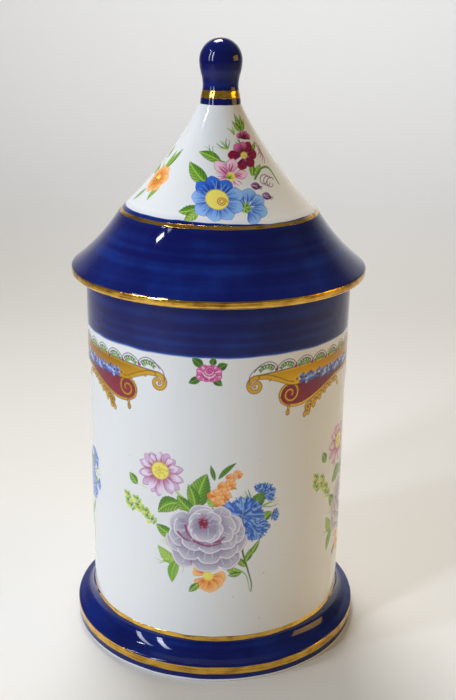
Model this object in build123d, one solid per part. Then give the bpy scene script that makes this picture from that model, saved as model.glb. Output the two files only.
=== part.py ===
from build123d import *
import os

# A covered porcelain jar in millimetres. +Z is up and the origin is on the axis, in the plane of the foot ring.
# Every piece is round: it is drawn as a half section, radius across and height up, and turned about the axis.

# Jar body
body_radius = 50.0
body_wall = 4.0
mouth_height = 144.0
mouth_edge_radius = 1.0
floor_thickness = 5.0
floor_corner_radius = 6.0

# Foot of the jar
foot_spread = 7.0
foot_flare_top = 15.0
foot_edge_height = 6.8
foot_shoulder_radius = 1.0
foot_ring_width = 7.5
foot_ring_edge_radius = 0.8
foot_recess_depth = 3.0
foot_recess_corner_radius = 2.0

# Lid: a locating collar, an overhanging rim, a bell and a cone, both slightly hollow
collar_clearance = 0.8
collar_depth = 7.0
collar_wall = 3.5
collar_edge_radius = 0.8
rim_overhang = 5.3
rim_height = 3.1
rim_edge_radius = 1.3
bell_height = 19.7
bell_hollow = 1.2
shoulder_radius = 37.2
cone_height = 38.6
cone_hollow = 2.0
lid_wall = 5.0
lid_seat_thickness = 4.0
crown_thickness = 5.0

# Knob, formed on its own and luted to the flat top of the cone
knob_seat_radius = 7.5
knob_foot_height = 2.4
knob_foot_radius = 7.25
knob_neck_height = 6.6
knob_neck_radius = 6.55
knob_throat_height = 10.5
knob_throat_radius = 7.2
knob_ball_height = 15.1
knob_ball_radius = 7.9

# Fired layers, let in flush with the surface
cobalt_depth = 0.4
gilt_depth = 0.2
mouth_band_width = 17.1
foot_bare_edge = 1.0
foot_gilt_low = 3.2
foot_gilt_width = 3.3
foot_line_width = 1.8
foot_line_overlap = 0.9
rim_gilt_low = 0.5
rim_gilt_width = 2.6
shoulder_line_width = 1.5
shoulder_line_overlap = 0.2
knob_gilt_low = 2.2
knob_gilt_width = 2.75

# Sizes that follow from those above
bore_radius = body_radius - body_wall
floor_height = foot_recess_depth + floor_thickness
foot_radius = body_radius + foot_spread
foot_ring_inner = foot_radius - foot_ring_width
collar_radius = bore_radius - collar_clearance
collar_bore = collar_radius - collar_wall
collar_bottom = mouth_height - collar_depth
rim_radius = body_radius + rim_overhang
rim_top = mouth_height + rim_height
shoulder_height = rim_top + bell_height
knob_seat = shoulder_height + cone_height


def hollow_arc(start, end, sag):
    """An arc that dips by sag towards the axis, from a low outer point to a high inner one."""
    low = Vector(*start)
    high = Vector(*end)
    chord = high - low
    inward = Vector(chord.Y, -chord.X).normalized() * -sag
    return ThreePointArc(low, (low + high) / 2 + inward, high)


def outline(*curves):
    """A closed half section."""
    return make_face(Curve() + list(curves))


def rounded(section, corners, radius):
    """The section with the corners at these points rounded."""
    points = [Vector(*corner) for corner in corners]
    picked = [v for v in section.vertices() if min((v.center() - p).length for p in points) < 1e-3]
    return fillet(picked, radius)


def block(inner, outer, low, high):
    """A rectangle of the half section."""
    return Pos((inner + outer) / 2, (low + high) / 2) * Rectangle(outer - inner, high - low)


def layer(section, depth, low, high):
    """The outer skin of a section, depth thick, between two heights."""
    skin = section - offset(section, amount=-depth)
    return skin & block(depth * 2, rim_radius + foot_radius, low, high)


def turned(section):
    """The solid that the half section sweeps about the axis."""
    return revolve(Plane.XZ * section, Axis.Z)


def save(shape, node):
    """Writes one piece under its node's name."""
    shape.label = node
    export_step(shape, f"parts/{node}.step")


def jar_outline():
    """The jar filled solid: foot ring, flared foot, straight wall."""
    flare_start = (foot_radius, foot_edge_height)
    flare_end = (body_radius, foot_flare_top)
    section = outline(
        Polyline((0, 0), (foot_radius, 0), flare_start),
        TangentArc(flare_end, flare_start, tangent=(0, -1)),
        Polyline(flare_end, (body_radius, mouth_height), (0, mouth_height), (0, 0)),
    )
    section = rounded(section, [(foot_radius, 0)], foot_ring_edge_radius)
    section = rounded(section, [flare_start], foot_shoulder_radius)
    return rounded(section, [(body_radius, mouth_height)], mouth_edge_radius)


def jar_pieces():
    """The vessel, its cobalt bands and its gilt lines."""
    whole = jar_outline()
    bore = rounded(block(0, bore_radius, floor_height, mouth_height),
                   [(bore_radius, floor_height)], floor_corner_radius)
    recess = rounded(block(0, foot_ring_inner, 0, foot_recess_depth),
                     [(foot_ring_inner, foot_recess_depth)], foot_recess_corner_radius)
    vessel = rounded(whole - bore - recess, [(bore_radius, mouth_height)], mouth_edge_radius)
    line_low = foot_flare_top - foot_line_width
    gilt_line = layer(whole, gilt_depth, line_low, foot_flare_top)
    gilt_band = layer(whole, gilt_depth, foot_gilt_low, foot_gilt_low + foot_gilt_width)
    foot_cobalt = layer(whole, cobalt_depth, foot_bare_edge, line_low + foot_line_overlap)
    foot_cobalt = foot_cobalt - gilt_line - gilt_band
    band_top = mouth_height - mouth_edge_radius
    mouth_cobalt = layer(whole, cobalt_depth, band_top - mouth_band_width, band_top)
    return {
        "jar_body": vessel - gilt_line - gilt_band - foot_cobalt - mouth_cobalt,
        "jar_cobalt_band": mouth_cobalt,
        "foot_cobalt_band": foot_cobalt,
        "foot_gilt_line": gilt_line,
        "foot_gilt_band": gilt_band,
    }


def lid_surface(inset):
    """The bell and the cone, moved towards the axis by inset."""
    rim = (rim_radius - inset, rim_top)
    shoulder = (shoulder_radius - inset, shoulder_height)
    top = (knob_seat_radius - inset, knob_seat)
    return rim, top, [hollow_arc(rim, shoulder, bell_hollow), hollow_arc(shoulder, top, cone_hollow)]


def lid_outline():
    """The lid filled solid: collar, overhanging rim, bell and cone."""
    rim, top, surface = lid_surface(0)
    below = Polyline(top, (0, knob_seat), (0, collar_bottom), (collar_radius, collar_bottom),
                     (collar_radius, mouth_height), (rim_radius, mouth_height), rim)
    section = outline(*surface, below)
    section = rounded(section, [(rim_radius, mouth_height), rim], rim_edge_radius)
    return rounded(section, [(collar_radius, collar_bottom)], collar_edge_radius)


def lid_pieces():
    """The lid shell, its cobalt bell and its gilt lines."""
    whole = lid_outline()
    rim, top, surface = lid_surface(lid_wall)
    inside = outline(*surface, Polyline(top, (0, knob_seat), (0, rim_top), rim))
    hollow = inside & block(0, rim_radius, mouth_height + lid_seat_thickness, knob_seat - crown_thickness)
    hollow = hollow + block(0, collar_bore, collar_bottom, mouth_height + lid_seat_thickness)
    line_low = shoulder_height - shoulder_line_overlap
    gilt_line = layer(whole, gilt_depth, line_low, line_low + shoulder_line_width)
    gilt_low = mouth_height + rim_gilt_low
    gilt_rim = layer(whole, gilt_depth, gilt_low, gilt_low + rim_gilt_width)
    cobalt = layer(whole, cobalt_depth, gilt_low, shoulder_height) - gilt_line - gilt_rim
    return {
        "lid_shell": whole - hollow - gilt_line - gilt_rim - cobalt,
        "lid_cobalt_band": cobalt,
        "lid_shoulder_gilt_line": gilt_line,
        "lid_rim_gilt": gilt_rim,
    }


def knob_pieces():
    """The knob and the gilt ring round its foot."""
    foot = (knob_foot_radius, knob_foot_height)
    throat = (knob_throat_radius, knob_throat_height)
    ball = (knob_ball_radius, knob_ball_height)
    knob_top = (0, knob_ball_height + knob_ball_radius)
    whole = outline(
        Polyline((0, 0), (knob_seat_radius, 0), foot),
        ThreePointArc(foot, (knob_neck_radius, knob_neck_height), throat),
        TangentArc(ball, throat, tangent=(0, -1)),
        RadiusArc(ball, knob_top, -knob_ball_radius),
        Line(knob_top, (0, 0)),
    )
    gilt_ring = layer(whole, gilt_depth, knob_gilt_low, knob_gilt_low + knob_gilt_width)
    seat = Pos(0, knob_seat)
    return {"knob": seat * (whole - gilt_ring), "knob_gilt_ring": seat * gilt_ring}


os.makedirs("parts", exist_ok=True)
for node, section in (jar_pieces() | lid_pieces() | knob_pieces()).items():
    save(turned(section), node)
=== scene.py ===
import math

import bmesh
import bpy
import numpy as np
from mathutils import Matrix, Vector


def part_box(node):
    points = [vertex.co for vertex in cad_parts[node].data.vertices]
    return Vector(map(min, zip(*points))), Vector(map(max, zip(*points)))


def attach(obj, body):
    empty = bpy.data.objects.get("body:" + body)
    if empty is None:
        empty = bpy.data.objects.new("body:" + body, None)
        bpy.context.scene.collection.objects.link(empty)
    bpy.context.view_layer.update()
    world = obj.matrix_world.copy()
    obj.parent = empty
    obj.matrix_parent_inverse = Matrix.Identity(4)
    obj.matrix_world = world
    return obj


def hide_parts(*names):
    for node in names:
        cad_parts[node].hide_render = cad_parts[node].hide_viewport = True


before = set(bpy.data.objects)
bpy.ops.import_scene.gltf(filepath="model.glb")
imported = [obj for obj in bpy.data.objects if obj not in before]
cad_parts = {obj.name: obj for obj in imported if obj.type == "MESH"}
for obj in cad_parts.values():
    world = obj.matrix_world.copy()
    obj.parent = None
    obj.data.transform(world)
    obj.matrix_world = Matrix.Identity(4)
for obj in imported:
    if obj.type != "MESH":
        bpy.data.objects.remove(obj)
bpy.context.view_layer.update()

bl_info = {
    "name": "Covered Porcelain Jar",
    "version": (1, 0, 0),
    "blender": (4, 5, 0),
    "location": "View3D > Sidebar > Jar",
    "description": "A covered porcelain jar with cobalt bands, gilding and painted flowers",
    "category": "Add Mesh",
}

# Lengths are in millimetres until a mesh is written. Angles go round the axis from the front, which is -Y.
MM = 0.001


def ring_of(node):
    """A node's outer radius, lowest and highest point."""
    low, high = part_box(node)
    return [round(v / MM, 3) for v in ((high.x - low.x) / 2, low.z, high.z)]


BODY_RADIUS, MOUTH_BAND_LOW = ring_of("jar_cobalt_band")[:2]
FOOT_RADIUS, FOOT_BAND_LOW = ring_of("foot_cobalt_band")[:2]
MOUTH = ring_of("jar_body")[2]
FLARE_TOP = ring_of("foot_gilt_line")[2]
RIM_RADIUS, RIM_GILT_LOW, RIM_GILT_HIGH = ring_of("lid_rim_gilt")
COLLAR_LOW, KNOB_SEAT = ring_of("lid_shell")[1:]
SHOULDER = ring_of("lid_cobalt_band")[2]
KNOB_TOP = ring_of("knob")[2]

# Sizes that the boxes don't give.
FOOT_EDGE = 6.8
FOOT_EDGE_ROUNDING = 1.0
FOOT_RING = 7.5
FOOT_RING_ROUNDING = 0.8
FOOT_RECESS = 3.0
FOOT_RECESS_ROUNDING = 2.0
JAR_FLOOR = 8.0
JAR_FLOOR_ROUNDING = 6.0
MOUTH_ROUNDING = 1.0
COLLAR_WALL = 3.5
COLLAR_ROUNDING = 0.8
RIM_ROUNDING = 1.3
LID_SEAT = MOUTH + 4.0
BELL_HOLLOW = 1.2
CONE_HOLLOW = 2.0
CROWN_LOW = KNOB_SEAT - 5.0
KNOB_SEAT_RADIUS = 7.5
KNOB_BALL = 7.9

# How far a fired layer's edge sinks into the glaze, and how deep its back lies.
EDGE_SINK = 0.012
BACK_DEPTH = 0.15

# Seeds that are set this many degrees apart never line up.
SEED_ANGLE = 137.5

# The middle of the jar in metres, which the lamps face.
JAR_MIDDLE = Vector((0, 0, 0.12))

# Each enamel: its colour and what it is for.
ENAMELS = {
    "ground": ("#E6E8EB", "Bare porcelain between the brush marks"),
    "lilac": ("#D3B2D6", "Daisy petals"),
    "lilac_pale": ("#EBDDF0", "Daisy petals in light"),
    "magenta": ("#A81F70", "Daisy and rose shading"),
    "rose": ("#DD6FAE", "Rose petals"),
    "rose_pale": ("#F3C9DC", "Rose petals in light"),
    "crimson": ("#8E1034", "Crimson petals and scroll panels"),
    "maroon": ("#5E0A2E", "Crimson in shade"),
    "peony": ("#C4C1CE", "Peony petals"),
    "peony_pale": ("#F1EFF5", "Peony lips"),
    "peony_deep": ("#948DA8", "Peony in shade"),
    "blue": ("#2F6BD0", "Cornflower petals"),
    "blue_pale": ("#8FB9F0", "Cornflower in light"),
    "blue_deep": ("#0F308E", "Cornflower in shade"),
    "orange": ("#EE8A2C", "Orange petals"),
    "orange_pale": ("#FAC27E", "Orange petals in light"),
    "orange_deep": ("#D9691A", "Orange petals in shade"),
    "yellow": ("#F1E36A", "Flower centres"),
    "yellow_deep": ("#B9A32C", "Flower centres in shade"),
    "green": ("#6FA52C", "Leaves"),
    "green_pale": ("#B9D268", "Young leaves"),
    "green_deep": ("#2F611B", "Leaves in shade"),
    "violet": ("#63306F", "Violet buds and fine stems"),
    "russet": ("#A9651F", "Scroll panels"),
    "russet_deep": ("#4E2508", "Scroll outlines"),
    "gold": ("#D9A93A", "Scroll gold"),
}


def linear(code):
    """The linear colour of an sRGB hex value."""
    shares = [int(code[i:i + 2], 16) / 255 for i in (1, 3, 5)]
    return [s / 12.92 if s <= 0.04045 else ((s + 0.055) / 1.055) ** 2.4 for s in shares]


def colour_of(code, name, words):
    """A colour that a user can change."""
    return bpy.props.FloatVectorProperty(
        name=name, description=words, subtype="COLOR", size=3, min=0, max=1, default=linear(code))


def length_of(size, name, words):
    """A length in millimetres that a user can change, kept in metres."""
    return bpy.props.FloatProperty(
        name=name, description=words, subtype="DISTANCE", unit="LENGTH", precision=5, default=size * MM)


def angle_of(degrees, name, words):
    """An angle in degrees that a user can change, kept in radians."""
    return bpy.props.FloatProperty(
        name=name, description=words, subtype="ANGLE", default=math.radians(degrees))


class EnamelColours(bpy.types.PropertyGroup):
    """The enamels that the flowers and scrolls are painted with."""

    __annotations__ = {
        key: colour_of(code, key.replace("_", " ").capitalize(), words)
        for key, (code, words) in ENAMELS.items()
    }


class JarSettings(bpy.types.PropertyGroup):
    """Sizes and finishes of the jar."""

    wall: length_of(4.0, "Wall", "Thickness of the jar's wall")
    lid_wall: length_of(5.0, "Lid wall", "Thickness of the lid, measured level")
    collar_radius: length_of(45.2, "Collar radius", "Outside of the collar that sits in the mouth")
    shoulder_radius: length_of(37.2, "Shoulder radius", "Where the bell of the lid meets its cone")
    ripple: length_of(0.12, "Ripple", "How far the fired wall strays from true round")
    glaze_inset: length_of(0.1, "Glaze inset", "Room left under the paint and gilding")
    paint_cell: length_of(0.25, "Paint cell", "Width of the grid that the enamels are painted on")
    paint_relief: length_of(0.05, "Paint relief", "Height of a full touch of enamel")
    segments: bpy.props.IntProperty(name="Segments", description="Faces round the jar", default=288, min=64)
    porcelain: colour_of("#E6E8EB", "Porcelain", "The glazed white body")
    cobalt: colour_of("#020D58", "Cobalt", "Cobalt glaze at its full depth")
    cobalt_thin: colour_of("#14429E", "Thin cobalt", "Cobalt glaze where it has run thin")
    gilding: colour_of("#EBBB50", "Gilding", "Burnished gold")
    gilding_worn: colour_of("#9A6522", "Worn gilding", "Gold rubbed thin")


class StageSettings(bpy.types.PropertyGroup):
    """The camera and the light."""

    camera_distance: length_of(386.8, "Camera distance", "Level distance from the jar's axis")
    camera_height: length_of(244.25, "Camera height", "Height above the floor")
    lens: bpy.props.FloatProperty(name="Lens", description="Focal length in millimetres", default=54.0)
    azimuth: angle_of(4.5, "Azimuth", "Camera's angle round from the front")
    pitch: angle_of(18.951, "Pitch", "How far the camera looks down")
    yaw: angle_of(0.587, "Yaw", "How far the camera looks to the right")
    roll: angle_of(-0.81, "Roll", "How far the camera leans")
    floor: colour_of("#E4E2DE", "Floor", "The floor and the backdrop")


def settings():
    """The jar's settings with lengths in millimetres."""
    group = bpy.context.scene.jar_settings
    lengths = ("wall", "lid_wall", "collar_radius", "shoulder_radius", "ripple", "glaze_inset", "paint_cell",
               "paint_relief")
    return {key: getattr(group, key) / MM for key in lengths} | {"segments": group.segments}


def turn(angle):
    """The unit vector at an angle in degrees."""
    return np.array([math.cos(math.radians(angle)), math.sin(math.radians(angle))])


def ease(low, high, x):
    """0 before low, 1 after high and smooth between."""
    t = np.clip((x - low) / (high - low), 0, 1)
    return t * t * (3 - 2 * t)


def dipped(start, end, sag, steps=48):
    """Points from a low outer place to a high inner one, dipping by sag towards the axis."""
    start, end = np.array(start, float), np.array(end, float)
    chord = end - start
    inward = np.array((-chord[1], chord[0])) / np.hypot(*chord)
    t = np.linspace(0, 1, steps)[:, None]
    return start + chord * t + inward * 4 * sag * t * (1 - t)


def rounded(corners, steps=8):
    """A line through corners of (radius, height, rounding)."""
    line = []
    places = [np.array(c[:2], float) for c in corners]
    for i, at in enumerate(places):
        edge = corners[i][2]
        if edge == 0:
            line.append(at)
            continue
        back = (places[i - 1] - at) / np.hypot(*(places[i - 1] - at))
        on = (places[i + 1] - at) / np.hypot(*(places[i + 1] - at))
        half = math.acos(np.clip(back @ on, -1, 1)) / 2
        centre = at + (back + on) / np.hypot(*(back + on)) * edge / math.sin(half)
        first = at + back * edge / math.tan(half) - centre
        last = at + on * edge / math.tan(half) - centre
        for t in np.linspace(0, 1, steps):
            way = first + (last - first) * t
            line.append(centre + way / np.hypot(*way) * edge)
    return np.array(line)


def sharp(points):
    """Corners with no rounding."""
    return [(r, z, 0) for r, z in points]


def fine(line, step):
    """The line with points added so that none are further apart than step."""
    runs = []
    for a, b in zip(line, line[1:]):
        count = max(1, math.ceil(np.hypot(*(b - a)) / step))
        runs.append(a + (b - a) * np.linspace(0, 1, count, endpoint=False)[:, None])
    return np.vstack(runs + [line[-1:]])


def jar_section(s):
    """The jar's half section from the middle of its base, up the outside and down to the floor inside."""
    drop = FLARE_TOP - FOOT_EDGE
    spread = FOOT_RADIUS - BODY_RADIUS
    sweep = (spread ** 2 + drop ** 2) / (2 * spread)
    heights = FOOT_EDGE + drop * np.linspace(0.12, 1, 24)
    flare = [(BODY_RADIUS + sweep - math.sqrt(sweep ** 2 - (FLARE_TOP - z) ** 2), z) for z in heights]
    inside = BODY_RADIUS - s["wall"]
    ring_inside = FOOT_RADIUS - FOOT_RING
    base = [(0, FOOT_RECESS, 0), (ring_inside, FOOT_RECESS, FOOT_RECESS_ROUNDING),
            (ring_inside, 0, FOOT_RING_ROUNDING), (FOOT_RADIUS, 0, FOOT_RING_ROUNDING)]
    return rounded([*base, (FOOT_RADIUS, FOOT_EDGE, FOOT_EDGE_ROUNDING), *sharp(flare),
                    (BODY_RADIUS, MOUTH, MOUTH_ROUNDING), (inside, MOUTH, MOUTH_ROUNDING),
                    (inside, JAR_FLOOR, JAR_FLOOR_ROUNDING), (0, JAR_FLOOR, 0)])


def lid_section(s):
    """The lid's half section from the top of its hollow, down and out round the rim and up to the crown."""
    rim = (RIM_RADIUS, RIM_GILT_HIGH)
    shoulder = (s["shoulder_radius"], SHOULDER)
    crown = (KNOB_SEAT_RADIUS, KNOB_SEAT)
    step_in = np.array((s["lid_wall"], 0))
    cone = dipped(shoulder, crown, CONE_HOLLOW)
    bell = dipped(rim, shoulder, BELL_HOLLOW)
    inner = np.vstack([(bell - step_in), (cone - step_in)[1:]])
    inner = inner[(inner[:, 1] > LID_SEAT) & (inner[:, 1] < CROWN_LOW)][::-1]
    collar = s["collar_radius"]
    collar_inside = collar - COLLAR_WALL
    below = [(inner[-1][0], LID_SEAT, 0), (collar_inside, LID_SEAT, 0),
             (collar_inside, COLLAR_LOW, COLLAR_ROUNDING), (collar, COLLAR_LOW, COLLAR_ROUNDING),
             (collar, MOUTH, 0), (RIM_RADIUS, MOUTH, RIM_ROUNDING), (*rim, RIM_ROUNDING)]
    # The bell's first few points lie within the rounding of the rim.
    return rounded([(0, CROWN_LOW, 0), (inner[0][0], CROWN_LOW, 0), *sharp(inner), *below,
                    *sharp(bell[4:]), *sharp(cone[1:]), (0, KNOB_SEAT, 0)])


def knob_section():
    """The knob's half section from its seat: a waisted neck and a ball."""
    room_above = 0.1
    middle = KNOB_TOP - KNOB_SEAT - KNOB_BALL - room_above
    neck = [(KNOB_SEAT_RADIUS, 0), (7.25, 2.4), (6.8, 4.2), (6.57, 6.0), (6.6, 7.4), (6.85, 9.2),
            (7.25, 10.7), (7.6, 12.2), (KNOB_BALL - 0.05, middle - 0.9)]
    curve = bow(neck)
    cap = [np.array((0, middle)) + KNOB_BALL * turn(a) for a in np.linspace(0, 90, 28)]
    return np.vstack([[(0, 0)], curve, cap]) + (0, KNOB_SEAT)


def outside(section):
    """The outer face of a half section, from low to high."""
    low = section[:, 0].argmax()
    while low > 0 and section[low - 1, 1] < section[low, 1] - 1e-6:
        low -= 1
    high = low
    while high + 1 < len(section) and section[high + 1, 1] > section[high, 1] + 1e-6:
        high += 1
    return section[low:high + 1]


def warp(angle, z):
    """How far the fired wall draws in from true round, as a share of the ripple."""
    wave = np.sin(2 * angle + z / 23 + 0.6) + np.sin(3 * angle - z / 17 + 2.1) + np.sin(5 * angle + z / 9)
    return 0.5 + wave / 6


def placed(angle, radius, z, s, lift=0.0):
    """Points round the axis, drawn in by the glaze inset and the ripple but near the axis, then lifted."""
    near_axis = 12
    true = radius - (s["glaze_inset"] + s["ripple"] * warp(angle, z)) * ease(0, near_axis, radius) + lift
    true = np.maximum(true, 0) * (radius > 0)
    return np.stack([true * np.sin(angle), -true * np.cos(angle), z + 0 * angle], -1)


def smoothed(name, mesh, body, sharp_angle=42):
    """Shades a mesh smooth but for its sharp edges, and sets it on a body of the jar."""
    mesh.polygons.foreach_set("use_smooth", np.ones(len(mesh.polygons), bool))
    mesh.set_sharp_from_angle(angle=math.radians(sharp_angle))
    piece = bpy.data.objects.new(name, mesh)
    bpy.context.scene.collection.objects.link(piece)
    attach(piece, body)
    return piece


def whole(mesh):
    """Welds a mesh where it meets itself and turns its faces outwards."""
    solid = bmesh.new()
    solid.from_mesh(mesh)
    bmesh.ops.remove_doubles(solid, verts=solid.verts, dist=1e-7)
    bmesh.ops.recalc_face_normals(solid, faces=solid.faces)
    solid.to_mesh(mesh)
    solid.free()


def woven(name, points, values=()):
    """A mesh over a grid of points, welded where the grid meets itself. values: point attributes by name."""
    rows, cols = points.shape[:2]
    number = np.arange(rows * cols).reshape(rows, cols)
    quads = np.stack([number[:-1, :-1], number[:-1, 1:], number[1:, 1:], number[1:, :-1]], -1).reshape(-1, 4)
    mesh = bpy.data.meshes.new(name)
    mesh.from_pydata((points.reshape(-1, 3) * MM).tolist(), [], quads.tolist())
    across, up = np.meshgrid(np.linspace(0.01, 0.99, cols), np.linspace(0.01, 0.99, rows))
    uv = np.stack([across, up], -1).reshape(-1, 2)
    corners = np.empty(len(mesh.loops), int)
    mesh.loops.foreach_get("vertex_index", corners)
    mesh.uv_layers.new(name="OFBake").data.foreach_set("uv", uv[corners].ravel())
    for key, value in dict(values).items():
        mesh.attributes.new(key, "FLOAT", "POINT").data.foreach_set("value", value.ravel())
    whole(mesh)
    return mesh


def round_angles(s):
    """The angles of the grid's columns, all the way round."""
    return np.linspace(0, 2 * math.pi, s["segments"] + 1)


def turned(name, section, body, s, step=1.2):
    """A solid of revolution with the ripple of the kiln."""
    line = fine(section, step)
    angle = round_angles(s)[None, :]
    points = placed(angle, line[:, :1], line[:, 1:], s)
    points[:, -1] = points[:, 0]
    return smoothed(name, woven(name, points), body)


def edge_waves(angle, seed, size):
    """A hand-brushed edge: slow and quick waves that meet after a turn."""
    rng = np.random.default_rng(seed)
    wave = sum(rng.normal(0, 1) / math.sqrt(k) * np.sin(k * angle + rng.uniform(0, 6)) for k in range(2, 34))
    return size * wave / 2.4


def banded(name, section, low, high, body, s, lift, wave, seed, fade=(0.0, 0.0), wash=0.0, creep=(0.0, 0)):
    """A fired layer round the outside of a section, with brushed edges and its back let into the body.

    wave: how far its edges stray. fade: how far it thins out at its lower and upper edge. wash: how far a
    faint tint of it runs on above. creep: how far its upper edge climbs on one side, and the angle of that
    side. The share of its full depth is kept as the attribute depth."""
    face = outside(section)
    run = np.concatenate([[0], np.cumsum(np.hypot(*np.diff(face, axis=0).T))])
    angle = round_angles(s)[None, :]
    first = np.interp(low, face[:, 1], run) + edge_waves(angle, seed, wave)
    last = np.interp(high, face[:, 1], run) + edge_waves(angle, seed + 50, wave)
    last = last + creep[0] * ease(-0.1, 1, np.cos(angle - math.radians(creep[1])))
    end = last + wash
    t = np.linspace(0, 1, max(14, int((end - first).max() / 0.2)))[:, None]
    along = np.clip(first + (end - first) * t, 0, run[-1])
    rise = lift * np.minimum(1, 6 * np.minimum(t, 1 - t)) ** 0.5 - EDGE_SINK
    radius, height = np.interp(along, run, face[:, 0]), np.interp(along, run, face[:, 1])
    front = placed(angle, radius, height, s, rise)
    back = placed(angle, radius, height, s, -BACK_DEPTH)
    depth = np.ones_like(along)
    if fade[0]:
        depth = depth * ease(0, fade[0] * (1 + edge_waves(angle, seed + 7, 0.2)), along - first)
    if fade[1]:
        depth = depth * ease(0, fade[1] * (1 + edge_waves(angle, seed + 9, 0.2)), last - along)
    if wash:
        faint = 0.13
        depth = np.maximum(depth, faint * ease(0, wash, end - along))
    points = np.concatenate([front, back[::-1], front[:1]])
    depth = np.concatenate([depth, depth[::-1], depth[:1]])
    points[:, -1] = points[:, 0]
    return smoothed(name, woven(name, points, {"depth": depth}), body)


def touched(name, radius, top, sphere, body, s):
    """A dab of gold on the crown of a ball, with a brushed edge."""
    angle = round_angles(s)[None, :]
    reach = radius + edge_waves(angle, 71, radius * 0.12)
    t = np.linspace(0, 1, 12)[:, None]
    out = reach * t
    drop = sphere - np.sqrt(sphere ** 2 - out ** 2)
    sheets = []
    for lift in (0.05 * (1 - t ** 4) - EDGE_SINK, -0.2 + 0 * t):
        sheets.append(np.stack([out * np.sin(angle), -out * np.cos(angle), top - drop + lift], -1))
    points = np.concatenate([sheets[0], sheets[1][::-1]])
    points[:, -1] = points[:, 0]
    return smoothed(name, woven(name, points), body)


def bow(points, steps=14):
    """A smooth line through a few points."""
    p = np.array([points[0], *points, points[-1]], float)
    t = np.linspace(0, 1, steps, endpoint=False)[:, None]
    runs = []
    for a, b, c, d in zip(p, p[1:], p[2:], p[3:]):
        runs.append(0.5 * (2 * b + (c - a) * t + (2 * a - 5 * b + 4 * c - d) * t ** 2
                           + (3 * b - 3 * c + d - a) * t ** 3))
    return np.vstack(runs + [p[-1:]])


def coil(at, wide, narrow, start, sweep, steps=40):
    """A spiral about a point, from one radius to another."""
    t = np.linspace(0, 1, steps)
    angle = np.radians(start + sweep * t)
    reach = wide + (narrow - wide) * t
    return np.array(at) + np.c_[np.cos(angle), np.sin(angle)] * reach[:, None]


def mixed(one, two, share):
    """One colour mixed with another, by each cell's share of the second."""
    return one + (two - one) * share[..., None]


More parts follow.
